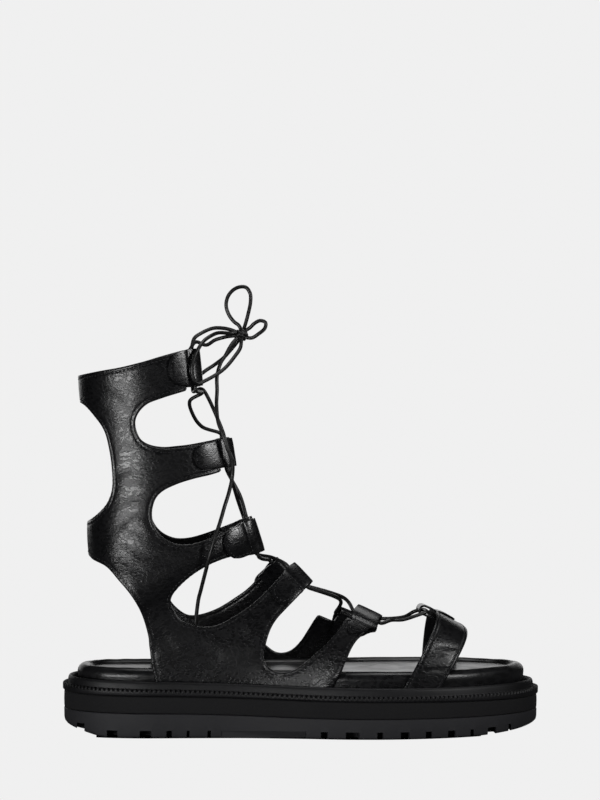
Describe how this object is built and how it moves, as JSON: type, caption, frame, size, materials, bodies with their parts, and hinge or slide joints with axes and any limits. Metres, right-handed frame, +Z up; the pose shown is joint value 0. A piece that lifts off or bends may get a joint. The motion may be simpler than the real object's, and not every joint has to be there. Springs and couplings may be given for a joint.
{
  "type": "gladiator sandal",
  "caption": "Lace-up open-toe leather sandal with a comb-shaped upper tied up the ankle, a toe strap and a lugged flatform sole.",
  "frame": {"origin": "centre of the sole's plan box, on the ground", "axes": "+X to the toe, +Y to the medial side, +Z up"},
  "size_m": [0.2776, 0.1062, 0.2574],
  "materials": {
    "upper_leather": "smooth black leather with a fine crinkled grain, semi-gloss",
    "footbed_leather": "smooth black leather over a padded rim, semi-gloss",
    "insole_leather": "smooth black leather, satin",
    "lace_leather": "round black waxed leather cord, satin",
    "welt_rubber": "moulded black rubber, satin, notched on its top edge",
    "midsole_foam": "fine-cell black foam, matte",
    "outsole_rubber": "moulded black rubber with lugs, matte"
  },
  "bodies": {
    "root": {"outsole": "outsole_rubber", "midsole": "midsole_foam", "welt": "welt_rubber", "footbed": "footbed_leather", "insole": "insole_leather", "upper": "upper_leather", "toe_strap": "upper_leather", "loop_lateral_1": "upper_leather", "loop_lateral_2": "upper_leather", "loop_lateral_3": "upper_leather", "loop_lateral_4": "upper_leather", "loop_lateral_5": "upper_leather", "loop_medial_1": "upper_leather", "loop_medial_2": "upper_leather", "loop_medial_3": "upper_leather", "loop_medial_4": "upper_leather", "loop_medial_5": "upper_leather", "lace_toe_span": "lace_leather", "lace_crossing_1": "lace_leather", "lace_crossing_2": "lace_leather", "lace_crossing_3": "lace_leather", "lace_crossing_4": "lace_leather", "lace_knot": "lace_leather", "lace_lead_lateral": "lace_leather", "lace_lead_medial": "lace_leather", "lace_bow_up": "lace_leather", "lace_bow_small": "lace_leather", "lace_bow_large": "lace_leather", "lace_end_long": "lace_leather", "lace_end_short": "lace_leather"}
  },
  "joints": []
}
